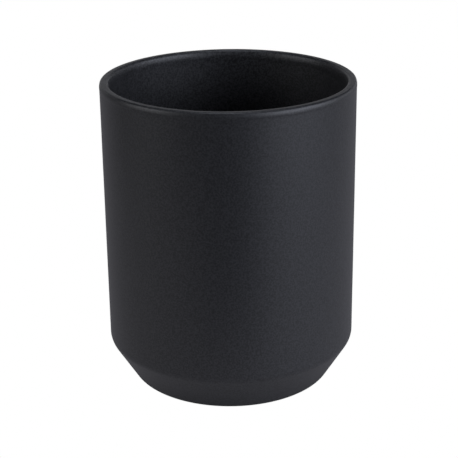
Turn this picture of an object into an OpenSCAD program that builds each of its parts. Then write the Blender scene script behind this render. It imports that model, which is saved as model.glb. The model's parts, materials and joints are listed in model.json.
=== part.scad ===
// Empty candle jar: a heavy-based glass tumbler with a bevelled foot and a bead round its rim,
// finished with one matte coat inside and another outside. All sizes are in millimetres.
// The jar stands on z = 0 with its axis along Z. Outside sizes are taken over the coats.

/* [Overall size] */
// Height from the surface it stands on to the top of the rim
jar_h = 98.3; // [80:0.1:120]
// Diameter across the rim bead, which is the widest part
rim_d = 80; // [70:0.5:90]
// Thickness of the straight wall, with its coats
wall_t = 2.8; // [2.2:0.1:3.6]

/* [Rim] */
// How far the bead stands out from the outer wall
bead_proud = 0.05; // [0.05:0.05:0.4]
// How far the lip stands in from the inner wall
lip_proud = 0.15; // [0.05:0.05:0.5]
// Distance from the top of the rim down to the crease under the bead
bead_h = 2; // [1.3:0.1:4]
// Distance from the top of the rim down to the crease under the lip
lip_h = 3; // [1.5:0.1:4]
// Radius of the bead's shoulder
bead_round = 0.9; // [0.4:0.1:1.5]
// Width of the flat crown, between the round of the bead and the round of the lip
crown_w = 1.2; // [0.1:0.1:1.8]

/* [Bevelled foot] */
// Height at which the line of the bevel meets the line of the wall
bevel_h = 13.3; // [11:0.1:18]
// How far the line of the bevel comes in from the wall by the time it reaches z = 0
bevel_in = 8.15; // [6:0.05:10]
// Radius that blends the wall into the bevel
shoulder_round = 3; // [1:0.1:6]
// Radius that blends the bevel into the underside
foot_round = 3.6; // [2:0.1:6]
// Width of the flat ring that the jar stands on
standing_w = 3.6; // [2:0.1:6]
// Depth of the domed hollow under the base, inside the standing ring
punt_depth = 1.2; // [0.5:0.1:2.5]

/* [Inside] */
// Height of the inner floor above z = 0
floor_h = 8; // [6:0.5:12]
// Radius that blends the inner floor into the inner wall
floor_round = 10; // [8:0.5:14]

/* [Coats] */
// Thickness of each coat
coat_t = 0.15; // [0.1:0.01:0.3]
// Angle above horizontal, round the bead's shoulder, at which the two coats meet
seam_angle = 50; // [20:5:80]

/* [Hidden] */
$fn = 180;

beyond = 5; // length that takes a cutting shape clear of what it cuts
rim_r = rim_d / 2;
wall_r = rim_r - bead_proud;
bore_r = wall_r - wall_t;
foot_r = wall_r - bevel_in;

// Centres of the arcs that round the bead outside and the lip inside, each at its top and its bottom.
lip_round = bead_proud + wall_t + lip_proud - bead_round - crown_w;
bead_x = rim_r - bead_round;
bead_top_z = jar_h - bead_round;
bead_low_z = jar_h - bead_h + sqrt(pow(bead_round, 2) - pow(bead_round - bead_proud, 2));
lip_x = bore_r - lip_proud + lip_round;
lip_top_z = jar_h - lip_round;
lip_low_z = jar_h - lip_h + sqrt(pow(lip_round, 2) - pow(lip_round - lip_proud, 2));

// Centres of the arcs that blend the bevel into the underside and into the wall.
bevel_l = norm([bevel_in, bevel_h]);
bevel_out = [bevel_h, -bevel_in] / bevel_l;
foot_c = [foot_r - foot_round * (bevel_l - bevel_in) / bevel_h, foot_round];
shoulder_c = [
  wall_r - shoulder_round,
  bevel_h + shoulder_round * (bevel_l - bevel_h) / bevel_in
];

// The hollow under the base is part of a sphere that meets z = 0 at the standing ring's inner edge.
punt_r = foot_c.x - standing_w;
punt_round = (pow(punt_r, 2) + pow(punt_depth, 2)) / (2 * punt_depth);

// A rectangle from its low corner to its high corner.
module corners(low, high) {
  translate(low) square(high - low);
}

// Two arcs of one radius, one above the other, with the straight between them.
module upright_slot(r, x, low_z, top_z) {
  translate([x, low_z]) circle(r);
  translate([x, top_z]) circle(r);
  corners([x - r, low_z], [x + r, top_z]);
}

// The section of the rim, taken in by depth from its outer, inner and top faces: half of the bead's slot
// outside, half of the lip's slot inside, and between them a core that runs down the middle of the wall.
module rim_section(depth) {
  intersection() {
    upright_slot(bead_round - depth, bead_x, bead_low_z, bead_top_z);
    corners([bead_x, 0], [rim_r + beyond, jar_h + beyond]);
  }
  corners([lip_x, bevel_h], [bead_x, jar_h - depth]);
  intersection() {
    upright_slot(lip_round - depth, lip_x, lip_low_z, lip_top_z);
    corners([0, 0], [lip_x, jar_h + beyond]);
  }
}

// The section of the space inside the jar, grown by depth.
module cavity_section(depth) {
  floor_c = [bore_r - floor_round, floor_h + floor_round];
  translate(floor_c) circle(floor_round + depth);
  corners([0, floor_h - depth], [floor_c.x, jar_h + beyond]);
  corners([0, floor_c.y], [bore_r + depth, jar_h + beyond]);
}

// The section of the body below the rim, filled to the axis and taken in by depth.
module body_section(depth) {
  translate(foot_c) circle(foot_round - depth);
  translate(shoulder_c) circle(shoulder_round - depth);
  polygon([
    [0, depth],
    [foot_c.x, depth],
    foot_c + (foot_round - depth) * bevel_out,
    shoulder_c + (shoulder_round - depth) * bevel_out,
    [wall_r - depth, shoulder_c.y],
    [wall_r - depth, bead_low_z],
    [bead_x, bead_low_z],
    [bead_x, lip_low_z],
    [0, lip_low_z]
  ]);
}

// The section of the whole jar, taken in by depth from every face.
module jar_section(depth) {
  difference() {
    body_section(depth);
    cavity_section(depth);
  }
  rim_section(depth);
}

// The section of both coats together, as the skin of the jar.
module coats_section() {
  difference() {
    jar_section(0);
    jar_section(coat_t);
  }
}

// What lies inside a line that runs up the middle of the wall and out through the bead's shoulder.
module inner_side() {
  cavity_section(wall_t / 2);
  polygon([
    [0, bead_top_z],
    [bead_x, bead_top_z],
    [bead_x, bead_top_z] + beyond * [cos(seam_angle), sin(seam_angle)],
    [0, jar_h + beyond]
  ]);
}

// The bare glass: wall, rim, thick base, the ring that it stands on and the hollow inside the ring.
module glass_jar() {
  color([0.66, 0.73, 0.73])
    rotate_extrude()
      difference() {
        union() {
          jar_section(coat_t);
          corners([0, 0], [foot_c.x, foot_round]);
        }
        translate([0, punt_depth - punt_round]) circle(punt_round);
      }
}

// The coat on the inner floor, the inner wall, the lip and the crown.
module inside_coat() {
  color([0.10, 0.10, 0.11])
    rotate_extrude()
      intersection() {
        coats_section();
        inner_side();
      }
}

// The coat on the bead, the outer wall, the bevel and the round of the foot, as far as the standing ring.
module outside_coat() {
  color([0.15, 0.15, 0.16])
    rotate_extrude()
      difference() {
        coats_section();
        inner_side();
        corners([0, 0], [foot_c.x, foot_round]);
      }
}

glass_jar();
inside_coat();
outside_coat();
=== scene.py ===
"""The looks of an empty candle jar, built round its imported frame.

The jar is one piece of pressed glass with one sprayed lacquer on its inside and another on its outside.
Each of the three is turned about the jar's axis from the same drawn line, and gets a material of its own.
All sizes are in metres.
"""

import json
import logging
import math
from dataclasses import dataclass, field
from enum import Enum

import bpy
import numpy as np
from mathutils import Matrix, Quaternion, Vector


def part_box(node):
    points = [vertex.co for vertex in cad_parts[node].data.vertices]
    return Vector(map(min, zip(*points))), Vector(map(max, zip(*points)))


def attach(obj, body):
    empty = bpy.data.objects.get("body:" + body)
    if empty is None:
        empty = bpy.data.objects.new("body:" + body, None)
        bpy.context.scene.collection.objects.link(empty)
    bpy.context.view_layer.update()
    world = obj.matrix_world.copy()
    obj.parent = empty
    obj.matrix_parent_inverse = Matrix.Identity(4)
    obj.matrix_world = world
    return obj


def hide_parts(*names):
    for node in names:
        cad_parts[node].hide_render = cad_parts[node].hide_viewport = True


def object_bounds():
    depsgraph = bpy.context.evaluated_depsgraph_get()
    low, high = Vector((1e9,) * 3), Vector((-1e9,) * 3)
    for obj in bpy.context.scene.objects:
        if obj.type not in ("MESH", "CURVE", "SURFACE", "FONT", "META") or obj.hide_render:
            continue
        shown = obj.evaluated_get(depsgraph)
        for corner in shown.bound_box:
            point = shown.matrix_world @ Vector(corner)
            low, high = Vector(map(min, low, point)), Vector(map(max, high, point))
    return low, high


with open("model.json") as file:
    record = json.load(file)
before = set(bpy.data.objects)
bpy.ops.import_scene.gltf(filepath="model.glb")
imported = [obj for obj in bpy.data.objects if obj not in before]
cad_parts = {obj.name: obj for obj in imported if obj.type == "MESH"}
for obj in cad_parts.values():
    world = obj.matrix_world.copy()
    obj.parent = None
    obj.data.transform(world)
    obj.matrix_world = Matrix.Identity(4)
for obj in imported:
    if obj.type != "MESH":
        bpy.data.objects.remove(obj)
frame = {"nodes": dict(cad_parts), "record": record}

log = logging.getLogger("candle_jar")

CAD_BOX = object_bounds()
MM = 0.001
ON_AXIS = 1e-9  # anything nearer the axis than this is on it
SAME_PLACE = 1e-7  # points nearer each other than this are one
Point = tuple[float, float]
Colour = tuple[float, float, float]
WHITE = (1.0, 1.0, 1.0)
BLACK = (0.0, 0.0, 0.0)


class Layer(Enum):
    """The three bodies of material in the jar, by the node that each stands for."""

    GLASS = "glass_jar"
    INSIDE = "inside_coat"
    OUTSIDE = "outside_coat"


# --- Drawing a line, and turning it ---------------------------------------------------------------


class Outline:
    """A line in the half plane that is turned about the jar's axis: distance from the axis, then height."""

    def __init__(self, start: Point) -> None:
        """Starts the line at a point."""
        self.points = [start]

    def straight(self, end: Point, pieces: int = 1) -> "Outline":
        """Runs straight on to a point.

        Args:
            end: Where the straight stretch ends.
            pieces: How many equal pieces it is cut into.

        Returns:
            The outline itself.
        """
        r0, z0 = self.points[-1]
        for i in range(1, pieces + 1):
            share = i / pieces
            self.points.append((r0 + (end[0] - r0) * share, z0 + (end[1] - z0) * share))
        return self

    def arc(self, centre: Point, radius: float, start: float, end: float, pieces: int) -> "Outline":
        """Runs straight on to an arc, and round it.

        Args:
            centre: The arc's centre.
            radius: The arc's radius.
            start: The angle that it starts at, in degrees up from pointing away from the axis.
            end: The angle that it ends at.
            pieces: How many equal pieces it is cut into.

        Returns:
            The outline itself.
        """
        for i in range(pieces + 1):
            self.points.append(on_circle(centre, radius, start + (end - start) * i / pieces))
        return self

    def array(self) -> np.ndarray:
        """Gives the line as it stands.

        Returns:
            Its points, without those that repeat the one before.
        """
        kept = [self.points[0]]
        for point in self.points[1:]:
            if math.dist(point, kept[-1]) > SAME_PLACE:
                kept.append(point)
        return np.array(kept)


def on_circle(centre: Point, radius: float, degrees: float) -> Point:
    """Finds a point on a circle.

    Args:
        centre: The circle's centre.
        radius: Its radius.
        degrees: The angle up from pointing away from the axis.

    Returns:
        The point at that angle.
    """
    angle = math.radians(degrees)
    return centre[0] + radius * math.cos(angle), centre[1] + radius * math.sin(angle)


def moved_in(line: np.ndarray, depth: float) -> np.ndarray:
    """Moves a line sideways, to its left as it runs.

    Args:
        line: The line's points.
        depth: How far it moves.

    Returns:
        The moved points. A point on the axis stays on it.
    """
    run = np.gradient(line, axis=0)
    run /= np.linalg.norm(run, axis=1, keepdims=True)
    left = np.stack([-run[:, 1], run[:, 0]], axis=1)
    moved = line + left * depth
    moved[line[:, 0] < ON_AXIS, 0] = 0.0
    return moved


@dataclass(frozen=True)
class Wave:
    """One wave that runs round the jar, and twists as it rises."""

    lobes: int
    strength: float
    twist: float
    start: float = 0.0


@dataclass(frozen=True)
class Ripple:
    """The slight unevenness of pressed glass, which its lacquer follows."""

    depth: float = 0.022 * MM
    least: float = 0.2
    pitch: float = 27 * MM
    fade_radius: float = 10 * MM
    waves: tuple[Wave, ...] = (Wave(3, 1.0, 1.0), Wave(7, 0.6, -1.3, 1.1), Wave(13, 0.4, 0.7, 2.3))

    def at(self, around: np.ndarray, radius: float, height: float) -> np.ndarray:
        """How far the surface lies inside its nominal radius.

        Args:
            around: The angles about the axis, in radians.
            radius: The nominal radius.
            height: The height above the foot.

        Returns:
            A distance for each angle, from the least share of the ripple's depth to the whole of it. Inside
            fade_radius it dies out towards the axis.
        """
        rise = 2 * math.pi * height / self.pitch
        swing = np.zeros(len(around))
        for wave in self.waves:
            swing += wave.strength * np.sin(wave.lobes * around + wave.twist * rise + wave.start)
        swing /= sum(wave.strength for wave in self.waves)
        share = (1 + self.least) / 2 - (1 - self.least) / 2 * swing
        return self.depth * share * min(1.0, radius / self.fade_radius)


def turned(name: str, section: np.ndarray, sides: int, ripple: Ripple) -> bpy.types.Object:
    """Turns a closed section about the jar's axis.

    Args:
        name: The new object's name.
        section: The section's points in order, with the material on the left.
        sides: How many flat sides a full turn has.
        ripple: The unevenness that the radius gets.

    Returns:
        The new mesh object, linked into the scene.
    """
    sharp_from = 50.0
    around = np.arange(sides) * 2 * math.pi / sides
    places, rings = [], []
    for r, z in section:
        if r < ON_AXIS:
            rings.append([len(places)] * sides)
            places.append((0.0, 0.0, z))
            continue
        radii = r - ripple.at(around, r, z)
        rings.append(list(range(len(places), len(places) + sides)))
        places.extend(zip(radii * np.cos(around), radii * np.sin(around), np.full(sides, z)))
    faces = []
    for low, high in zip(rings, rings[1:] + rings[:1]):
        for i in range(sides):
            j = (i + 1) % sides
            corners = [low[i], low[j], high[j], high[i]]
            face = [c for n, c in enumerate(corners) if c != corners[n - 1]]
            if len(face) > 2:
                faces.append(face)
    mesh = bpy.data.meshes.new(name)
    mesh.from_pydata(places, [], faces)
    mesh.validate()
    mesh.shade_smooth()
    mesh.set_sharp_from_angle(angle=math.radians(sharp_from))
    piece = bpy.data.objects.new(name, mesh)
    bpy.context.scene.collection.objects.link(piece)
    return piece


# --- The jar's shape ------------------------------------------------------------------------------


@dataclass(frozen=True)
class RolledEdge:
    """One edge of the rim: a small round off the crown, then a shallow bulge down to a crease in the wall.

    Its angles are in degrees above level, as seen from the bulge's own centre. Its side is 1 outside the
    wall and -1 inside it.
    """

    widest: float
    top: float
    height: float
    shoulder: float
    bulge: float
    low: float
    side: int

    @property
    def bulge_centre(self) -> Point:
        """The centre of the bulge."""
        drop = self.height + self.bulge * math.sin(math.radians(self.low))
        return self.widest - self.side * self.bulge, self.top - drop

    @property
    def high(self) -> float:
        """How far above level the bulge ends, at the small round."""
        rise = self.top - self.shoulder - self.bulge_centre[1]
        return math.degrees(math.asin(rise / (self.bulge - self.shoulder)))

    @property
    def shoulder_centre(self) -> Point:
        """The centre of the small round."""
        gap = (self.bulge - self.shoulder) * math.cos(math.radians(self.high))
        return self.bulge_centre[0] + self.side * gap, self.top - self.shoulder

    def turn(self, angle: float) -> float:
        """An angle above level, as an outline's arc counts it on this side of the wall."""
        return angle if self.side > 0 else 180 - angle


@dataclass(frozen=True)
class JarShape:
    """The jar's line over its lacquer, from the standing ring up the outside and down the inside to the axis.

    The line of the bevel comes in by bevel_in between bevel_height and the ground.
    """

    height: float
    rim_radius: float
    bore_radius: float
    floor_height: float
    standing_radius: float
    coat: float = 0.15 * MM
    bead_proud: float = 0.05 * MM
    lip_proud: float = 0.15 * MM
    bead_height: float = 2.0 * MM
    bead_shoulder: float = 0.7 * MM
    bead_bulge: float = 3.5 * MM
    bead_low: float = -7.0
    bead_step: float = 0.25 * MM
    crease_run: float = 1.0 * MM
    lip_height: float = 2.8 * MM
    lip_shoulder: float = 0.9 * MM
    lip_bulge: float = 5.0 * MM
    lip_low: float = -8.0
    lip_step: float = 1.0 * MM
    bevel_height: float = 13.3 * MM
    bevel_in: float = 8.15 * MM
    shoulder_round: float = 4.4 * MM
    foot_round: float = 3.6 * MM
    floor_round: float = 10 * MM
    seam_angle: float = 50.0
    punt_depth: float = 1.2 * MM
    standing_width: float = 3.6 * MM

    @classmethod
    def from_frame(cls) -> "JarShape":
        """Makes the shape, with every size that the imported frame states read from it.

        Returns:
            The shape.
        """
        mounts = {m["name"]: m for m in frame["record"]["mounts"]}
        low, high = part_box(Layer.OUTSIDE.value)
        coat_corners = frame["nodes"][Layer.OUTSIDE.value].data.vertices
        return cls(
            height=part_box(Layer.INSIDE.value)[1].z,
            rim_radius=(high.x - low.x) / 2,
            bore_radius=mounts["inner_wall"]["dims"]["r_mm"] * MM,
            floor_height=mounts["wick_seat"]["pos_m"][2],
            standing_radius=min(math.hypot(v.co.x, v.co.y) for v in coat_corners),
        )

    @property
    def bead(self) -> RolledEdge:
        """The outer edge of the rim."""
        return RolledEdge(
            widest=self.rim_radius,
            top=self.height,
            height=self.bead_height,
            shoulder=self.bead_shoulder,
            bulge=self.bead_bulge,
            low=self.bead_low,
            side=1,
        )

    @property
    def lip(self) -> RolledEdge:
        """The inner edge of the rim."""
        return RolledEdge(
            widest=self.bore_radius - self.lip_proud,
            top=self.height,
            height=self.lip_height,
            shoulder=self.lip_shoulder,
            bulge=self.lip_bulge,
            low=self.lip_low,
            side=-1,
        )

    def outer_line(self) -> np.ndarray:
        """Draws the line from the standing ring up to the seam between the two coats.

        Returns:
            The line's points.
        """
        bead, wall = self.bead, self.rim_radius - self.bead_proud
        crease = self.height - self.bead_height - self.bead_step
        slope = math.hypot(self.bevel_in, self.bevel_height)
        tilt = math.degrees(math.atan2(self.bevel_in, self.bevel_height))
        lift = self.shoulder_round * (slope - self.bevel_height) / self.bevel_in
        foot = (self.standing_radius, self.foot_round)
        blend = (wall - self.shoulder_round, self.bevel_height + lift)
        line = Outline((self.standing_radius, 0.0))
        line.arc(foot, self.foot_round, -90, -tilt, pieces=14)
        line.straight(on_circle(blend, self.shoulder_round, -tilt), pieces=5)
        line.arc(blend, self.shoulder_round, -tilt, 0, pieces=10)
        line.straight((wall, crease - self.crease_run), pieces=20)
        line.straight((wall, crease), pieces=3)
        line.arc(bead.bulge_centre, bead.bulge, bead.low, bead.high, pieces=8)
        line.arc(bead.shoulder_centre, bead.shoulder, bead.high, self.seam_angle, pieces=5)
        return line.array()

    def inner_line(self) -> np.ndarray:
        """Draws the line from the seam over the crown, down the inner wall and across the floor to the axis.

        Returns:
            The line's points.
        """
        bead, lip = self.bead, self.lip
        high, low = lip.turn(lip.high), lip.turn(lip.low)
        round_top = self.floor_height + self.floor_round
        line = Outline(on_circle(bead.shoulder_centre, bead.shoulder, self.seam_angle))
        line.arc(bead.shoulder_centre, bead.shoulder, self.seam_angle, 90, pieces=5)
        line.straight((lip.shoulder_centre[0], self.height), pieces=3)
        line.arc(lip.shoulder_centre, lip.shoulder, 90, high, pieces=9)
        line.arc(lip.bulge_centre, lip.bulge, high, low, pieces=12)
        line.straight((self.bore_radius, self.height - self.lip_height - self.lip_step), pieces=3)
        line.straight((self.bore_radius, round_top), pieces=16)
        line.arc((self.bore_radius - self.floor_round, round_top), self.floor_round, 0, -90, pieces=16)
        line.straight((0.0, self.floor_height), pieces=8)
        return line.array()

    def foot_line(self) -> np.ndarray:
        """Draws the line of the bare glass: the domed hollow under the base, then the standing ring.

        Returns:
            The line's points, from the axis out.
        """
        ring = self.standing_radius - self.standing_width
        dome = (ring**2 + self.punt_depth**2) / (2 * self.punt_depth)
        line = Outline((0.0, self.punt_depth))
        meets = math.degrees(math.acos(ring / dome))
        line.arc((0.0, self.punt_depth - dome), dome, 90, meets, pieces=12)
        line.straight((self.standing_radius, 0.0), pieces=6)
        return line.array()


# --- Shader nodes ---------------------------------------------------------------------------------


def add_node(
    tree: bpy.types.NodeTree, kind: str, inputs: dict | None = None, **settings: object
) -> bpy.types.Node:
    """Adds a node to a tree.

    Args:
        tree: The tree that it goes in.
        kind: The node's type, without ShaderNode.
        inputs: What each input, by name or number, gets: a socket to link from, or a value.
        settings: The node's own settings.

    Returns:
        The new node.
    """
    node = tree.nodes.new("ShaderNode" + kind)
    for key, value in settings.items():
        setattr(node, key, value)
    for key, value in (inputs or {}).items():
        if isinstance(value, bpy.types.NodeSocket):
            tree.links.new(value, node.inputs[key])
        else:
            node.inputs[key].default_value = value
    return node


def mixed_colour(
    tree: bpy.types.NodeTree, share: bpy.types.NodeSocket, low: Colour, high: Colour
) -> bpy.types.NodeSocket:
    """Mixes two colours by a changing share.

    Args:
        tree: The tree that the mix goes in.
        share: The socket that gives the share of the second colour.
        low: The first colour.
        high: The second colour.

    Returns:
        The socket that the mixed colour comes from.
    """
    mix = add_node(tree, "Mix", {0: share, 6: (*low, 1), 7: (*high, 1)}, data_type="RGBA")
    return mix.outputs[2]


def spread(
    tree: bpy.types.NodeTree, value: bpy.types.NodeSocket, low: float, high: float
) -> bpy.types.NodeSocket:
    """Maps a value from 0 to 1 onto a range.

    Args:
        tree: The tree that the map goes in.
        value: The socket that gives the value.
        low: What 0 becomes.
        high: What 1 becomes.

    Returns:
        The socket that the mapped value comes from.
    """
    return add_node(tree, "MapRange", {"Value": value, "To Min": low, "To Max": high}).outputs["Result"]


def new_group(
    name: str, inputs: dict[str, tuple[str, float | None]], outputs: tuple[str, ...]
) -> bpy.types.NodeTree:
    """Makes a shader node group that has sockets and nothing else yet.

    Args:
        name: The group's name.
        inputs: Each input's kind, Float or Vector, and its value while nothing is linked to it.
        outputs: The names of its outputs, which are all values.

    Returns:
        The new group.
    """
    tree = bpy.data.node_groups.new(name, "ShaderNodeTree")
    for title, (kind, default) in inputs.items():
        made = tree.interface.new_socket(name=title, in_out="INPUT", socket_type="NodeSocket" + kind)
        if default is not None:
            made.default_value = default
    for title in outputs:
        tree.interface.new_socket(name=title, in_out="OUTPUT", socket_type="NodeSocketFloat")
    tree.nodes.new("NodeGroupInput").name = "in"
    tree.nodes.new("NodeGroupOutput").name = "out"
    return tree


def sand_grain_group() -> bpy.types.NodeTree:
    """Makes the fine sandy grain that a matte lacquer dries with.

    Returns:
        A group with the inputs Vector and Grains per metre, and the outputs Height and Fleck, from 0 to 1.
    """
    flecks_per_grain = 0.6
    fleck_edges = {"From Min": 0.32, "From Max": 0.68}
    inputs = {"Vector": ("Vector", None), "Grains per metre": ("Float", 3000.0)}
    tree = new_group("sand_grain", inputs, ("Height", "Fleck"))
    given, result = tree.nodes["in"].outputs, tree.nodes["out"].inputs
    vector, grains = given["Vector"], given["Grains per metre"]
    swell = {"Vector": vector, "Scale": grains, "Detail": 3.0, "Roughness": 0.65}
    tree.links.new(add_node(tree, "TexNoise", swell).outputs["Fac"], result["Height"])
    wide = add_node(tree, "Math", {0: grains, 1: flecks_per_grain}, operation="MULTIPLY").outputs[0]
    spots = add_node(tree, "TexNoise", {"Vector": vector, "Scale": wide, "Detail": 2.0}).outputs["Fac"]
    fleck = add_node(tree, "MapRange", {"Value": spots, **fleck_edges}, interpolation_type="SMOOTHSTEP")
    tree.links.new(fleck.outputs["Result"], result["Fleck"])
    return tree


# --- Finishes -------------------------------------------------------------------------------------


def new_material(name: str) -> tuple[bpy.types.Material, bpy.types.NodeTree, bpy.types.Node]:
    """Makes a material that has its shader and nothing else yet.

    Args:
        name: The material's name.

    Returns:
        The material, its node tree and its shader.
    """
    made = bpy.data.materials.new(name)
    made.use_nodes = True
    return made, made.node_tree, made.node_tree.nodes["Principled BSDF"]


@dataclass(frozen=True)
class SprayedLacquer:
    """A matte lacquer, sprayed on, with a fine sandy grain."""

    name: str
    dark: Colour
    light: Colour
    grain_size: float
    grain_depth: float
    roughness: float = 0.44
    roughness_swing: float = 0.05

    def material(self, groups: dict[str, bpy.types.NodeTree]) -> bpy.types.Material:
        """Makes the material.

        Args:
            groups: The shared node groups, by name.

        Returns:
            The new material.
        """
        made, tree, shader = new_material(self.name)
        grain = add_node(
            tree,
            "Group",
            {"Vector": add_node(tree, "TexCoord").outputs["Object"], "Grains per metre": 1 / self.grain_size},
            node_tree=groups["sand_grain"],
        )
        height, fleck = grain.outputs["Height"], grain.outputs["Fleck"]
        smooth, coarse = self.roughness - self.roughness_swing, self.roughness + self.roughness_swing
        bump = add_node(tree, "Bump", {"Height": height, "Strength": 1.0, "Distance": self.grain_depth})
        tree.links.new(mixed_colour(tree, fleck, self.dark, self.light), shader.inputs["Base Color"])
        tree.links.new(spread(tree, height, smooth, coarse), shader.inputs["Roughness"])
        tree.links.new(bump.outputs["Normal"], shader.inputs["Normal"])
        return made


@dataclass(frozen=True)
class ClearGlass:
    """Clear pressed glass."""

    name: str
    colour: Colour
    roughness: float = 0.04
    refraction: float = 1.52

    def material(self, groups: dict[str, bpy.types.NodeTree]) -> bpy.types.Material:
        """Makes the material.

        Args:
            groups: The shared node groups, by name, none of which glass needs.

        Returns:
            The new material.
        """
        made, _, shader = new_material(self.name)
        shader.inputs["Base Color"].default_value = (*self.colour, 1)
        shader.inputs["Roughness"].default_value = self.roughness
        shader.inputs["Transmission Weight"].default_value = 1.0
        shader.inputs["IOR"].default_value = self.refraction
        return made


Finish = SprayedLacquer | ClearGlass

FINISHES = {
    Layer.OUTSIDE: SprayedLacquer(
        "outside_lacquer",
        dark=(0.019, 0.0192, 0.0207),
        light=(0.039, 0.0394, 0.0425),
        grain_size=0.31 * MM,
        grain_depth=0.012 * MM,
    ),
    Layer.INSIDE: SprayedLacquer(
        "inside_lacquer",
        dark=(0.011, 0.0111, 0.012),
        light=(0.048, 0.0484, 0.052),
        grain_size=0.34 * MM,
        grain_depth=0.026 * MM,
    ),
    Layer.GLASS: ClearGlass("pressed_glass", colour=(0.93, 0.97, 0.96)),
}


# --- The jar --------------------------------------------------------------------------------------


@dataclass
class CandleJar:
    """The jar: its glass, the coat inside it and the coat outside it."""

    shape: JarShape
    ripple: Ripple = field(default_factory=Ripple)
    sides: int = 288
    bite: float = 0.02 * MM
    pieces: dict[Layer, bpy.types.Object] = field(default_factory=dict)

    def build(self) -> None:
        """Turns the three pieces from the shape's line."""
        outer, inner = self.shape.outer_line(), self.shape.inner_line()
        self.pieces[Layer.OUTSIDE] = self._coat("outside_lacquer", outer)
        self.pieces[Layer.INSIDE] = self._coat("inside_lacquer", inner)
        self.pieces[Layer.GLASS] = self._glass("pressed_glass", outer, inner)
        for layer, piece in self.pieces.items():
            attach(piece, "root")
            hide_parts(layer.value)

    def _coat(self, name: str, line: np.ndarray) -> bpy.types.Object:
        """Turns a coat, which lies along a line and bites a little into the glass.

        Args:
            name: The piece's name.
            line: The line of the coat's outer face.

        Returns:
            The new piece.
        """
        back = moved_in(line, self.shape.coat + self.bite)
        return turned(name, np.concatenate([line, back[::-1]]), self.sides, self.ripple)

    def _glass(self, name: str, outer: np.ndarray, inner: np.ndarray) -> bpy.types.Object:
        """Turns the glass, which lies a coat's thickness inside the jar's line and stands on a bare ring.

        Args:
            name: The piece's name.
            outer: The line of the outside coat's outer face.
            inner: The line of the inside coat's outer face.

        Returns:
            The new piece.
        """
        skin = moved_in(np.concatenate([outer, inner[1:]]), self.shape.coat)
        section = np.concatenate([self.shape.foot_line(), skin])
        return turned(name, section, self.sides, self.ripple)

    def dress(self, finishes: dict[Layer, Finish], groups: dict[str, bpy.types.NodeTree]) -> None:
        """Gives each piece its material.

        Args:
            finishes: Each piece's finish.
            groups: The shared node groups, by name.
        """
        for layer, piece in self.pieces.items():
            piece.data.materials.clear()
            piece.data.materials.append(finishes[layer].material(groups))


# --- The studio -----------------------------------------------------------------------------------


def direction(azimuth: float, elevation: float) -> Vector:
    """The way to something that stands round the jar.

    Args:
        azimuth: Degrees to the right of the side that faces the camera.
        elevation: Degrees above the horizon.

    Returns:
        A vector of length 1.
    """
    a, e = math.radians(azimuth), math.radians(elevation)
    return Vector((math.sin(a) * math.cos(e), -math.cos(a) * math.cos(e), math.sin(e)))


@dataclass(frozen=True)
class Softbox:
    """A large soft lamp that faces the middle of the jar, and that the camera doesn't see."""

    name: str
    azimuth: float
    elevation: float
    width: float
    height: float
    power: float
    colour: Colour
    distance: float = 1.3

    def place(self, middle: Vector) -> None:
        """Puts the lamp in the scene.

        Args:
            middle: The point that it faces.
        """
        lamp = bpy.data.lights.new(self.name, "AREA")
        lamp.shape = "RECTANGLE"
        lamp.size, lamp.size_y = self.width, self.height
        lamp.energy, lamp.color = self.power, self.colour
        stand = bpy.data.objects.new(self.name, lamp)
        way = direction(self.azimuth, self.elevation)
        stand.location = middle + way * self.distance
        stand.rotation_euler = way.to_track_quat("Z", "Y").to_euler()
        stand.visible_camera = False
        bpy.context.scene.collection.objects.link(stand)


@dataclass(frozen=True)
class SetPaper:
    """Paper that the set is laid with. It looks pure white, and glows with painted light that lights what
    stands there.

    Close to the middle of the set it glows less, a painted shade where whatever stands there would shade it.
    """

    name: str
    # painted light: the colour that the paper glows with towards everything but the camera
    glow: Colour
    # painted shade: the glow fades in between these distances from the middle of the set
    shade_from: float = 0.025
    shade_to: float = 0.040

    def material(self) -> bpy.types.Material:
        """Makes the material.

        Returns:
            The new material.
        """
        made, tree, shader = new_material(self.name)
        shader.inputs["Base Color"].default_value = (*BLACK, 1)
        shader.inputs["Roughness"].default_value = 1.0
        shader.inputs["Specular IOR Level"].default_value = 0.0
        place = add_node(tree, "TexCoord").outputs["Object"]
        # painted shade: the glow is darkened near the middle, where the jar would shade the paper
        away = add_node(tree, "VectorMath", {0: place}, operation="LENGTH").outputs["Value"]
        reach = {"Value": away, "From Min": self.shade_from, "From Max": self.shade_to}
        open_share = add_node(tree, "MapRange", reach).outputs["Result"]
        thrown = mixed_colour(tree, open_share, BLACK, self.glow)
        seen = add_node(tree, "LightPath").outputs["Is Camera Ray"]
        shown = add_node(tree, "Mix", {0: seen, 6: thrown, 7: (*WHITE, 1)}, data_type="RGBA")
        tree.links.new(shown.outputs[2], shader.inputs["Emission Color"])
        shader.inputs["Emission Strength"].default_value = 1.0
        return made


COOL = (0.92, 0.97, 1.11)
NEUTRAL = (0.98, 0.99, 1.03)
SOFTBOXES = (
    Softbox("right_key", azimuth=60, elevation=11.5, width=1.5, height=0.66, power=12.5, colour=COOL),
    Softbox("left_fill", azimuth=288, elevation=14, width=0.9, height=0.66, power=4.4, colour=NEUTRAL),
    Softbox("overhead", azimuth=0, elevation=85, width=0.45, height=0.45, power=3.8, colour=COOL),
    Softbox("back_right", azimuth=130, elevation=5, width=1.9, height=0.36, power=1.6, colour=NEUTRAL),
    Softbox("back_left", azimuth=195, elevation=11.5, width=1.7, height=0.66, power=1.8, colour=NEUTRAL),
)
FLOOR_PAPER = SetPaper("floor_paper", glow=BLACK)
# the card glows with painted light, which lights the jar from below
CARD_PAPER = SetPaper("card_paper", glow=(0.29, 0.287, 0.316))


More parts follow.
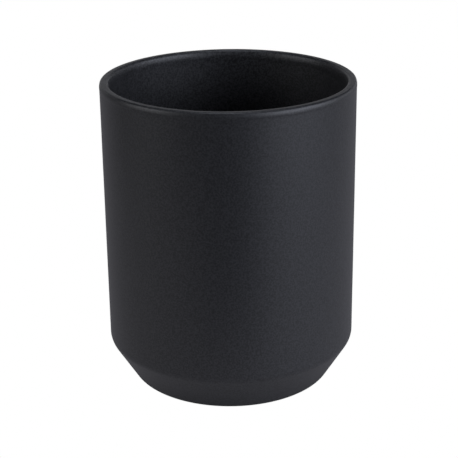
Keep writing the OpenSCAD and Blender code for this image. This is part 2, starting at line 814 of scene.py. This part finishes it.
@dataclass
class Studio:
    """A pale floor with a card on it that glows with painted light, soft lamps and a camera.

    The card reaches far behind the jar, less far beside it, and has a notch cut out in front of it.
    """

    middle: Vector
    floor_size: float = 12.0
    floor_drop: float = 0.5 * MM
    card_radius: float = 0.3
    card_back: float = 0.8
    back_angle: float = 140.0
    card_hole: float = 0.02
    card_step: int = 3
    notch_radius: float = 0.11
    notch_angle: float = 45.0
    camera_distance: float = 0.4282
    camera_elevation: float = 20.89
    camera_roll: float = -0.74
    camera_aside: float = -0.3 * MM
    lens: float = 103.9
    sensor_width: float = 36.0
    nearest: float = 0.01
    farthest: float = 50.0

    def build_floor(self, floor_paper: SetPaper, card_paper: SetPaper) -> None:
        """Lays the floor, and the card that the jar stands on.

        Args:
            floor_paper: What the floor is covered with.
            card_paper: What the card is made of.
        """
        half, drop = self.floor_size / 2, -self.floor_drop
        corners = [(-half, -half, drop), (half, -half, drop), (half, half, drop), (-half, half, drop)]
        self._lay("floor", corners, [(0, 1, 2, 3)], floor_paper)
        turns = range(0, 360, self.card_step)
        inner = [tuple(direction(turn, 0.0) * self.card_hole) for turn in turns]
        outer = [tuple(direction(turn, 0.0) * self._card_reach(turn)) for turn in turns]
        count = len(turns)
        faces = [(i, i + count, (i + 1) % count + count, (i + 1) % count) for i in range(count)]
        self._lay("card", inner + outer, faces, card_paper)

    def _card_reach(self, azimuth: float) -> float:
        """How far the card reaches in one direction.

        Args:
            azimuth: Degrees round from the side that faces the camera.

        Returns:
            A distance from the jar's axis: short in front of the jar, and long behind it.
        """
        off_front = min(azimuth, 360 - azimuth)
        if off_front < self.notch_angle / 2:
            return self.notch_radius
        return self.card_back if 180 - off_front < self.back_angle / 2 else self.card_radius

    def _lay(self, name: str, corners: list[tuple], faces: list[tuple], paper: SetPaper) -> None:
        """Lays one flat sheet of the set.

        Args:
            name: The sheet's name.
            corners: Its corners.
            faces: Its faces, as the numbers of their corners.
            paper: What it is made of.
        """
        mesh = bpy.data.meshes.new(name)
        mesh.from_pydata(corners, [], faces)
        mesh.materials.append(paper.material())
        sheet = bpy.data.objects.new(name, mesh)
        bpy.context.scene.collection.objects.link(sheet)

    def place_camera(self) -> None:
        """Aims the camera at the middle of the jar."""
        camera = bpy.data.cameras.new("camera")
        camera.lens, camera.sensor_width = self.lens, self.sensor_width
        camera.clip_start, camera.clip_end = self.nearest, self.farthest
        stand = bpy.data.objects.new("camera", camera)
        back = direction(0.0, self.camera_elevation)
        stand.location = self.middle + back * self.camera_distance + Vector((self.camera_aside, 0.0, 0.0))
        stand.rotation_mode = "QUATERNION"
        level = back.to_track_quat("Z", "Y")
        stand.rotation_quaternion = level @ Quaternion((0, 0, 1), math.radians(self.camera_roll))
        bpy.context.scene.collection.objects.link(stand)
        bpy.context.scene.camera = stand

    def light(self, softboxes: tuple[Softbox, ...]) -> None:
        """Sets the lamps, in a room that looks white and throws no light of its own.

        Args:
            softboxes: The lamps.
        """
        world = bpy.data.worlds.new("studio")
        world.use_nodes = True
        background = world.node_tree.nodes["Background"]
        background.inputs["Color"].default_value = (*WHITE, 1)
        seen = add_node(world.node_tree, "LightPath").outputs["Is Camera Ray"]
        world.node_tree.links.new(seen, background.inputs["Strength"])
        bpy.context.scene.world = world
        for softbox in softboxes:
            softbox.place(self.middle)
        bpy.context.scene.view_settings.view_transform = "Standard"


AIM_SHARE = 0.4895  # the share of the jar's height that the camera and the lamps aim at


def main() -> None:
    """Builds the jar and its studio, and reports each piece."""
    logging.basicConfig(level=logging.INFO, format="%(name)s: %(message)s")
    low, high = CAD_BOX
    studio = Studio(middle=Vector((0.0, 0.0, AIM_SHARE * (high.z - low.z))))
    studio.place_camera()
    studio.build_floor(FLOOR_PAPER, CARD_PAPER)
    studio.light(SOFTBOXES)
    jar = CandleJar(JarShape.from_frame())
    jar.build()
    jar.dress(FINISHES, {"sand_grain": sand_grain_group()})
    for layer, piece in jar.pieces.items():
        log.info("%s stands for %s with %d faces", piece.name, layer.value, len(piece.data.polygons))


if __name__ == "__main__":
    main()
